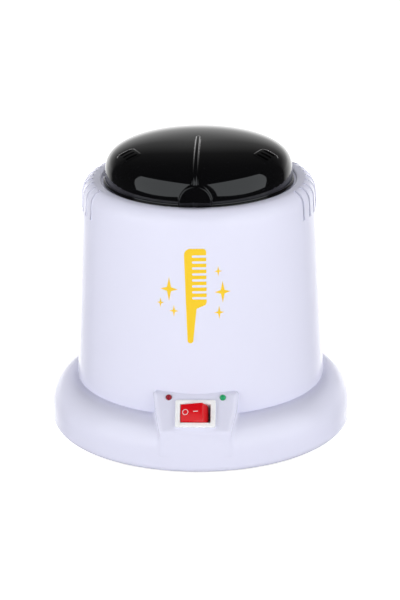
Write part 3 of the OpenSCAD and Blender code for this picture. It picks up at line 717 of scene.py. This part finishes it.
def make_body():
    """The tapered body with its shoulder slots cut clean through, and the deck that the lid sits on."""
    outer = body_chain(0)
    inner = body_chain(WALL)
    cx = body_r0 - BODY_TAPER - SHOULDER_ACROSS
    cz = body_top - SHOULDER_HIGH
    levels = [crease_z + 0.6 + (outer[0][1] - crease_z - 0.6) * k / 8 for k in range(8)]
    up = [(body_r0 - 0.5, crease_z), (body_r0 - 0.12, crease_z + 0.15)]
    up += [(body_radius(z), z) for z in levels]
    over = arc(cx, cz, SHOULDER_ACROSS, 85, 90, 1, SHOULDER_HIGH)
    over += arc(SEAT_R + 0.9, body_top - 0.9, 0.9, 90, 180, 5)
    over += [(SEAT_R, seat_z + 0.3), (SEAT_R - 0.3, seat_z)]
    over += arc(DECK_HOLE_R + 0.5, seat_z - 0.5, 0.5, 90, 180, 3)
    over += [(DECK_HOLE_R, seat_z - DECK_T), (SEAT_R + 2, seat_z - DECK_T)]
    over += [(SEAT_R + 2, body_top - WALL)]
    down = [(body_radius(z) - WALL, z) for z in reversed(levels)] + [(body_r0 - WALL, crease_z)]
    outline = up + outer + over + inner[::-1] + down
    outer_first = len(up)
    inner_first = outer_first + len(outer) + len(over)
    chain = len(outer)

    half = SLOT_W / 2 / body_r0 * 1.06
    edges = []
    for side in (0, math.pi):
        for i in range(SLOTS_PER_SIDE):
            centre = side + (i - (SLOTS_PER_SIDE - 1) / 2) * SLOT_PITCH
            edges += [centre - half, centre + half]
    edges.sort()
    angles = []
    slot_columns = set()
    for k, start in enumerate(edges):
        end = edges[(k + 1) % len(edges)] + (2 * math.pi if k + 1 == len(edges) else 0)
        steps = max(1, math.ceil((end - start) / math.radians(2)))
        if k % 2 == 0:
            steps = 1
            slot_columns.add(len(angles))
        angles += [start + (end - start) * n / steps for n in range(steps)]
    count, rows = len(angles), len(outline)
    points = [(r * math.cos(a), r * math.sin(a), z) for r, z in outline for a in angles]

    def at(row, column):
        return (row % rows) * count + column % count

    faces = []
    for row in range(rows):
        on_outer = outer_first <= row < outer_first + chain - 1
        on_inner = inner_first <= row < inner_first + chain - 1
        for c in range(count):
            if (on_outer or on_inner) and c in slot_columns:
                continue
            faces.append((at(row, c), at(row, c + 1), at(row + 1, c + 1), at(row + 1, c)))
    for c in slot_columns:
        pairs = [(outer_first + k, inner_first + chain - 1 - k) for k in range(chain)]
        for (out_a, in_a), (out_b, in_b) in zip(pairs, pairs[1:]):
            faces.append((at(out_a, c), at(out_b, c), at(in_b, c), at(in_a, c)))
            faces.append((at(out_a, c + 1), at(in_a, c + 1), at(in_b, c + 1), at(out_b, c + 1)))
        low_out, low_in = pairs[0]
        top_out, top_in = pairs[-1]
        faces.append((at(low_out, c), at(low_in, c), at(low_in, c + 1), at(low_out, c + 1)))
        faces.append((at(top_out, c), at(top_out, c + 1), at(top_in, c + 1), at(top_in, c)))
    body = to_object("Body_Housing", points, faces, looks["housing_white"])
    bevel(body, BODY_EDGE_ROUND, 3, 55)
    crisp(body, 40)
    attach(body, "housing")
    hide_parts("body_shell")


# ---------------------------------------------------------------- lid
def dome_field(p, grow_r=0.0, grow_h=0.0):
    """The lid's outside without its details: one flattened curve from the rim up to the apex."""
    a, b = LID_R + grow_r, lid_h + grow_h
    u = np.hypot(p[:, 0], p[:, 1]) / a
    w = np.maximum(p[:, 2] - lid_z, 0) / b
    value = u ** LID_POWER_OUT + w ** LID_POWER_UP - 1
    slope = np.hypot(LID_POWER_OUT * u ** (LID_POWER_OUT - 1) / a,
                     LID_POWER_UP * w ** (LID_POWER_UP - 1) / b)
    return value / np.maximum(slope, 0.004)


def vent_point(p, side):
    """Points in a vent group's own frame: outward from its middle, and along the rim."""
    a = -math.pi / 2 + side * VENT_ANGLE
    out = p[:, 0] * math.cos(a) + p[:, 1] * math.sin(a) - VENT_R
    along = -p[:, 0] * math.sin(a) + p[:, 1] * math.cos(a)
    return out, along


def lid_field(p):
    x, y, z = p.T
    whole = dome_field(p)
    spine = np.hypot(x, np.maximum(y - RIB_END_Y, 0)) - RIB_HALF_W
    rib = meet_round(spine, dome_field(p, 0.9, RIB_RISE), 1.1)
    whole = join_round(whole, rib, 0.4)
    arch_z = lid_z + PAD_H - PAD_W / 2
    arch = np.hypot(x, np.maximum(z - arch_z, 0)) - PAD_W / 2
    pad = np.maximum(meet_round(arch, PAD_Y - y, 0.7), y - PAD_BACK_Y)
    whole = join_round(whole, pad, 0.5)
    for side in (-1, 1):
        out, along = vent_point(p, side)
        half_out, half_along, corner = VENT_LEN / 2 + 1.3, VENT_PITCH + VENT_W / 2 + 1.3, 2.2
        over_out = np.abs(out) - half_out + corner
        over_along = np.abs(along) - half_along + corner
        plate = np.hypot(np.maximum(over_out, 0), np.maximum(over_along, 0)) - corner
        plate = plate + np.minimum(np.maximum(over_out, over_along), 0)
        whole = join_round(whole, meet_round(plate, dome_field(p, 0.1, 0.1), 0.08), 0.5)
    rho = np.hypot(x, y)
    flange = meet_round(rho - lid_flange_r, z - lid_z - 1.2, 0.4)
    whole = join_round(whole, flange, 0.6)
    whole = meet_round(whole, lid_z - z, 0.35)
    shell = np.maximum(whole, -dome_field(p, -LID_WALL, -LID_WALL))
    for k in range(3):
        post_r = upright(p, 30 + 120 * k, POST_RING_R)
        post = np.maximum(np.maximum(post_r - 3, 1 - post_r), plate_top - z)
        shell = np.minimum(shell, np.maximum(post, dome_field(p, -1.0, -1.0)))
    return shell


def stadium(length, width):
    """A slot outline with round ends, along x."""
    r = width / 2
    reach = length / 2 - r
    return arc(reach, 0, r, -90, 90, 10) + arc(-reach, 0, r, 90, 270, 10)


def make_lid():
    reach = lid_flange_r + 1.5
    black = looks["lid_black"]
    lid = field_mesh("Lid_Dome", lid_field, (-reach, -reach, lid_z - 1.2),
                     (reach, reach, lid_high[2] + 1.2), 0.5, black)
    cutters = []
    for side in (-1, 1):
        for i in (-1, 0, 1):
            vent = prism("cut", stadium(VENT_LEN, VENT_W), lid_z + 7, lid_high[2] + 3, black)
            m = Matrix.Rotation(-math.pi / 2 + side * VENT_ANGLE, 4, "Z")
            place_in(vent, m)
            shift = m.to_3x3() @ Vector((VENT_R, i * VENT_PITCH, 0))
            cutters.append(place_in(vent, Matrix.Translation(shift)))
    carve(lid, [join("cut", cutters)])
    true_normals(lid, lid_field)
    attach(lid, "lid")
    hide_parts("lid_dome")


# ---------------------------------------------------------------- switch and lamps
def make_switch_housing():
    """Square-cornered bezel and the box behind it, with the wall openings that the rocker needs."""
    white = looks["switch_white"]
    bezel = rounded_box("Switch_Bezel", BEZEL_W, BEZEL_H, 0, BEZEL_T, 1.0, white)
    hole = rounded_box("cut", OPENING_W, OPENING_H, -1, BEZEL_T + 1, 0.35, white)
    carve(bezel, [hole])
    bevel(bezel, 0.35, 3, 50)
    box = rounded_box("box", BOX_W, BOX_H, -BOX_DEEP, 0, 0.6, white)
    room = rounded_box("cut", ROCKER_ROOM_W, OPENING_H + 0.3, -BOX_DEEP + 1.6, -1.2, 0.4, white)
    mouth = rounded_box("cut", OPENING_W, OPENING_H, -1.6, 1, 0.35, white)
    pin = rod("cut", PIVOT_R + 0.06, -BOX_H / 2 + 0.3, BOX_H / 2 - 0.3, white, 24)
    m = Matrix.Rotation(math.radians(90), 4, "X")
    m.translation = (0, 0, -PIVOT_DEEP)
    carve(box, [room, mouth, place_in(pin, m)])
    wings = []
    for side in (-1, 1):
        x = side * (BOX_W / 2 + 0.25)
        wings.append(block("wing", (x - 0.45, -3, -7), (x + 0.45, 3, -3.6), white))
    housing = join("Switch_Bezel", [bezel, box] + wings)
    place_in(housing, console_matrix(0, SWITCH_DOWN, 0))
    crisp(housing, 40)
    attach(housing, "housing")
    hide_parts("switch_housing")


def rounded_outline(corners, radius, steps=5):
    """A polygon with each corner turned into a small arc; corners are (x, y) in order."""
    points = []
    n = len(corners)
    for i in range(n):
        here = Vector(corners[i])
        back = (Vector(corners[i - 1]) - here).normalized()
        ahead = (Vector(corners[(i + 1) % n]) - here).normalized()
        half = back.angle(ahead) / 2
        cut = min(radius / math.tan(half), (Vector(corners[i - 1]) - here).length * 0.45,
                  (Vector(corners[(i + 1) % n]) - here).length * 0.45)
        a, b = here + back * cut, here + ahead * cut
        for k in range(steps + 1):
            t = k / steps
            points.append(tuple((1 - t) ** 2 * a + 2 * t * (1 - t) * here + t * t * b))
    return points


def rocker_matrix(x, across, up):
    """A place on the rocker: x along its face, across its width, up from its pivot, at rest."""
    turn = Matrix.Rotation(ROCKER_REST, 4, "Y")
    return console_matrix(0, SWITCH_DOWN, -PIVOT_DEEP) @ turn @ Matrix.Translation((x, across, up))


def ring_mark(name, radius, width, height, material):
    outline = [(radius - width, 0), (radius, 0), (radius, height), (radius - width, height)]
    return revolved(name, outline, material, 40)


def make_rocker():
    red = looks["rocker_red"]
    right = [(1.9, -3.2), (2.6, 0.4), (ROCKER_END, 0.4), (ROCKER_END, 3.3), (ROCKER_FRONT, ROCKER_TOP)]
    corners = [(-x, z) for x, z in reversed(right)] + right
    outline = rounded_outline(corners, 0.45)
    paddle = prism("Rocker_Paddle", outline, -ROCKER_H / 2, ROCKER_H / 2, red)
    place_in(paddle, Matrix.Rotation(math.radians(90), 4, "X"))
    socket = rod("cut", 1.3, -4, 2.5, red, 24)
    carve(paddle, [socket])
    bevel(paddle, 0.3, 3, 50)
    pins = []
    for side in (-1, 1):
        pin = rod("pin", PIVOT_R, -0.5, 0.5, red, 24)
        m = Matrix.Rotation(math.radians(90), 4, "X")
        m.translation = (0, side * (ROCKER_H / 2 + 0.3), 0)
        pins.append(place_in(pin, m))
    rocker = join("Rocker_Paddle", [paddle] + pins)
    place_in(rocker, rocker_matrix(0, 0, 0))
    crisp(rocker, 40)
    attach(rocker, "rocker")
    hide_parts("rocker")
    off = ring_mark("Rocker_Mark_Off", 1.6, 0.3, 0.12, mark_white)
    place_in(off, rocker_matrix(-3.3, 0.35, ROCKER_TOP - 0.06))
    bar = prism("Rocker_Mark_On", stadium(2.6, 0.36), 0, 0.12, mark_white)
    place_in(bar, rocker_matrix(2.2, 0.35, ROCKER_TOP - 0.06))
    for mark in (off, bar):
        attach(crisp(mark), "rocker")


def make_lamp(name, side, node, slot_name):
    """A round-nosed lamp in its hole, with its hidden flange and two leads."""
    tint = looks[slot_name]
    outline = [(0, -4.6), (1.95, -4.6), (1.95, -3.7), (1.5, -3.6), (1.5, 0.15)]
    outline += arc(0, 0.15, 1.5, 12, 90, 8, 1.35)
    lamp = revolved(name, outline, tint, 40, closed=False)
    leads = []
    for k in (-1, 1):
        lead = rod("lead", 0.25, -7.4, -4.6, looks["screw_zinc"], 12)
        leads.append(place_in(lead, Matrix.Translation((k * 1.27, 0, 0))))
    lamp = join(name, [lamp] + leads)
    place_in(lamp, console_matrix(side * LAMP_SPACING / 2, LAMP_DOWN, 0))
    crisp(lamp, 50)
    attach(lamp, "housing")
    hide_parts(node)


# ---------------------------------------------------------------- cable gland
def make_gland():
    """The rubber grommet in the cable pocket: rounded flange, neck and the lip that snaps in behind."""
    low, _ = box_mm("cord_grommet")
    start = low[1] - GLAND_Y
    outline = [(3.2, start + 0.5), (3.7, start), (6.1, start), (6.6, start + 0.5), (6.6, -WALL - 0.3),
               (6.3, -WALL), (5.0, -WALL), (5.0, 0.0), (6.6, 0.0), (7.0, 0.4)]
    outline += arc(6.2, 1.4, 0.8, 0, 90, 5)
    outline += [(5.2, 2.0), (4.9, 1.7), (4.6, 1.7), (4.3, 2.2)]
    outline += arc(4.0, 1.4, 0.8, 90, 180, 5)
    gland = revolved("Cable_Gland", outline, looks["gland_rubber"], 64)
    lay_back(gland, 0, GLAND_Y, GLAND_Z)
    crisp(gland, 45)
    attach(gland, "housing")
    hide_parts("cord_grommet")


# ---------------------------------------------------------------- printed mark
# Height of the emblem's middle above the crease between base and body
EMBLEM_UP = 65.5


def comb_outline():
    """A plain upright comb with its teeth to the right and a tapered handle below."""
    teeth, pitch, gap = 8, 3.2, 1.5
    top, back, root, tip = 25.5, -5.6, -1.6, 6.0
    points = arc(back + 3.5, top - 3.5, 3.5, 180, 95, 6)
    points += arc(tip - 1.8, top - 1.8, 1.8, 85, 0, 4)
    for i in range(teeth):
        z = top - 3.4 - i * pitch
        points += [(tip, z), (tip - 0.4, z - 0.12), (root + 0.5, z - 0.12), (root, z - gap / 2),
                   (root + 0.5, z - gap + 0.12), (tip - 0.4, z - gap + 0.12), (tip, z - gap)]
    foot = top - 3.4 - teeth * pitch + 0.2
    points += [(tip, foot), (tip - 0.6, foot - 1.4), (0.8, foot - 3.4), (-0.9, -22.5)]
    points += arc(-2.5, -24.0, 1.5, 0, -180, 6)
    points += [(-4.6, foot - 4.0)]
    return points


def sparkle_outline(x, z, size):
    """A four-pointed star with hollow sides."""
    points = []
    for k in range(8):
        r = size if k % 2 == 0 else size * 0.24
        a = math.radians(90 + 45 * k)
        points.append((x + r * math.cos(a) * (0.72 if k % 4 == 2 else 1), z + r * math.sin(a)))
    return points


def wrap_print(name, outlines, centre_z):
    """Flat outlines (across, up) laid on the front of the tapered body as a thin layer of ink."""
    ink = 0.05
    corners = [Vector(point) for outline in outlines for point in outline]
    faces = []
    for outline in outlines:
        first = faces[-1][-1] + 1 if faces else 0
        faces.append(list(range(first, first + len(outline))))
    points, _, triangles, *_ = delaunay_2d_cdt(corners, [], faces, 1, 1e-5)
    bm = bmesh.new()
    flat = [bm.verts.new((x, 0, z)) for x, z in points]
    for triangle in triangles:
        bm.faces.new([flat[k] for k in triangle])
    for k in range(-14, 15):
        geometry = bm.verts[:] + bm.edges[:] + bm.faces[:]
        bmesh.ops.bisect_plane(bm, geom=geometry, plane_co=(k * 1.4, 0, 0), plane_no=(1, 0, 0))
    front = bmesh.ops.extrude_face_region(bm, geom=bm.faces[:])
    for vert in front["geom"]:
        if isinstance(vert, bmesh.types.BMVert):
            vert.co.y = ink
    for vert in bm.verts:
        z = centre_z + vert.co.z
        r = body_radius(z) + 0.015 + vert.co.y
        a = vert.co.x / body_radius(centre_z)
        vert.co = Vector((r * math.sin(a), -r * math.cos(a), z)) * MM
    bmesh.ops.recalc_face_normals(bm, faces=bm.faces[:])
    mesh = bpy.data.meshes.new(name)
    bm.to_mesh(mesh)
    bm.free()
    obj = bpy.data.objects.new(name, mesh)
    bpy.context.scene.collection.objects.link(obj)
    mesh.materials.append(print_yellow)
    return obj


def make_print():
    marks = [comb_outline(), sparkle_outline(-13.6, 3.4, 6.4), sparkle_outline(14.4, 2.0, 5.8),
             sparkle_outline(-11.0, -8.2, 3.2), sparkle_outline(12.4, -9.0, 3.6),
             sparkle_outline(-18.2, -4.2, 2.6), sparkle_outline(12.2, 13.2, 2.8)]
    emblem = wrap_print("Printed_Emblem", marks, crease_z + EMBLEM_UP)
    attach(emblem, "housing")


# ---------------------------------------------------------------- stage
CAMERA_DISTANCE = 1.5
CAMERA_ELEVATION = math.radians(20)
CAMERA_AZIMUTH = math.radians(2.3)
CAMERA_ROLL = math.radians(-0.57)
CAMERA_LOOK_Z = 0.0683
CAMERA_LENS = 166.5


def make_camera():
    distance, elevation, azimuth = CAMERA_DISTANCE, CAMERA_ELEVATION, CAMERA_AZIMUTH
    look = Vector((0, 0, CAMERA_LOOK_Z))
    back = Vector((math.sin(azimuth) * math.cos(elevation), -math.cos(azimuth) * math.cos(elevation),
                   math.sin(elevation)))
    data = bpy.data.cameras.new("Camera")
    data.lens = CAMERA_LENS
    data.sensor_width = 36
    camera = bpy.data.objects.new("Camera", data)
    bpy.context.scene.collection.objects.link(camera)
    camera.location = look + back * distance
    roll = Matrix.Rotation(CAMERA_ROLL, 4, "Z").to_quaternion()
    turn = (-back).to_track_quat("-Z", "Y") @ roll
    camera.rotation_mode = "QUATERNION"
    camera.rotation_quaternion = turn
    data.clip_start, data.clip_end = 0.01, 50
    bpy.context.scene.camera = camera


PANEL_DISTANCE = 1.3


def make_panel(name, azimuth, elevation, width, height, radiance, seen_by):
    """A soft rectangular light that faces the pot. Azimuth 0 is in front and 90 to the right.

    seen_by is "diffuse" for a light that only fills, "gloss" for one that is only reflected.
    """
    a, e = math.radians(azimuth), math.radians(elevation)
    away = Vector((math.sin(a) * math.cos(e), -math.cos(a) * math.cos(e), math.sin(e)))
    data = bpy.data.lights.new(name, "AREA")
    data.shape = "RECTANGLE"
    data.size, data.size_y = width, height
    data.energy = radiance * math.pi * width * height
    data.color = (0.92, 0.97, 1.0) if seen_by == "gloss" else (0.97, 0.98, 1.0)
    light = bpy.data.objects.new(name, data)
    bpy.context.scene.collection.objects.link(light)
    light.location = Vector((0, 0, 0.12)) + away * PANEL_DISTANCE
    light.rotation_mode = "QUATERNION"
    light.rotation_quaternion = (-away).to_track_quat("-Z", "Y")
    light.visible_camera = False
    light.visible_glossy = seen_by != "diffuse"
    light.visible_diffuse = seen_by != "gloss"


# How strongly the floor glows to the camera, so that it reads as bright paper
FLOOR_GLOW = 0.75


def make_floor():
    """A wide white floor that the camera sees as bright paper."""
    floor = block("Floor", (-3000, -3000, -4), (3000, 3000, 0), None)
    material, tree, shader = node_tree("Floor_Paper")
    paper = noise(tree, object_point(tree), 30.0, 4.0)
    tint = ramp(tree, paper, [(0.3, grey(0.89)), (0.7, grey(0.91))])
    tree.links.new(tint, shader.inputs["Base Color"])
    shader.inputs["Roughness"].default_value = 0.9
    shader.inputs["Emission Color"].default_value = (1, 1, 1, 1)
    seen = add_node(tree, "ShaderNodeLightPath")
    strength = add_node(tree, "ShaderNodeMath", {0: seen.outputs["Is Camera Ray"], 1: FLOOR_GLOW},
                        operation="MULTIPLY")
    tree.links.new(strength.outputs["Value"], shader.inputs["Emission Strength"])
    floor.data.materials.clear()
    floor.data.materials.append(material)
    floor.visible_glossy = False


def make_world():
    """White to the camera; to the pot, a dim room that glows behind it at and below the horizon."""
    world = bpy.data.worlds.new("Studio")
    bpy.context.scene.world = world
    world.use_nodes = True
    tree = world.node_tree
    tree.nodes.clear()
    where = add_node(tree, "ShaderNodeTexCoord")
    split = add_node(tree, "ShaderNodeSeparateXYZ", {"Vector": where.outputs["Generated"]})
    glow = ramp(tree, split.outputs["Z"], [(0.0, grey(1.5)), (0.13, grey(0.78)), (0.32, grey(0.2)),
                                           (0.5, grey(0.055)), (1.0, grey(0.02))])
    rear = ramp(tree, split.outputs["Y"], [(0.6, grey(0.0)), (0.92, grey(1.0))])
    room = add_node(tree, "ShaderNodeMix", {0: rear, 6: (*grey(0.035), 1), 7: glow}, data_type="RGBA")
    fill = ramp(tree, split.outputs["Z"], [(0.0, grey(1.0)), (0.3, grey(0.75)), (0.8, grey(0.06))])
    seen = add_node(tree, "ShaderNodeLightPath")
    light = add_node(tree, "ShaderNodeMix", {0: seen.outputs["Is Glossy Ray"], 6: fill,
                                             7: room.outputs[2]}, data_type="RGBA")
    soft = add_node(tree, "ShaderNodeBackground", {"Color": light.outputs[2], "Strength": 1.08})
    plain = add_node(tree, "ShaderNodeBackground", {"Color": (1, 1, 1, 1), "Strength": 1.05})
    mixed = add_node(tree, "ShaderNodeMixShader", {0: seen.outputs["Is Camera Ray"],
                                                   1: soft.outputs["Background"],
                                                   2: plain.outputs["Background"]})
    add_node(tree, "ShaderNodeOutputWorld", {"Surface": mixed.outputs["Shader"]})


make_camera()
make_world()
make_floor()
make_panel("Fill_Left", -50, 2, 1.75, 1.0, 2.15, "diffuse")
make_panel("Fill_Right", 50, 2, 1.75, 1.0, 2.2, "diffuse")
make_panel("Rear_Top", 180, 66, 0.22, 0.22, 36, "diffuse")
make_panel("Gloss_Left", -47, 18, 1.75, 1.5, 1.15, "gloss")
make_panel("Gloss_Right", 56, 18, 1.85, 1.5, 1.15, "gloss")
bpy.context.scene.view_settings.view_transform = "Standard"

make_base()
make_body()
make_lid()
make_switch_housing()
make_rocker()
make_lamp("Lamp_Red_Lens", -1, "red_lamp", "lamp_red")
make_lamp("Lamp_Green_Lens", 1, "green_lamp", "lamp_green")
make_gland()
make_print()

# CAD pieces that stay as they are: smooth shading that breaks at edges sharper than this
SMOOTH_SPLIT = math.radians(32)

for node_name, node in frame["nodes"].items():
    if node.type == "MESH" and not node.hide_render:
        smooth = node.modifiers.new("Smooth_Shading", "EDGE_SPLIT")
        smooth.split_angle = SMOOTH_SPLIT
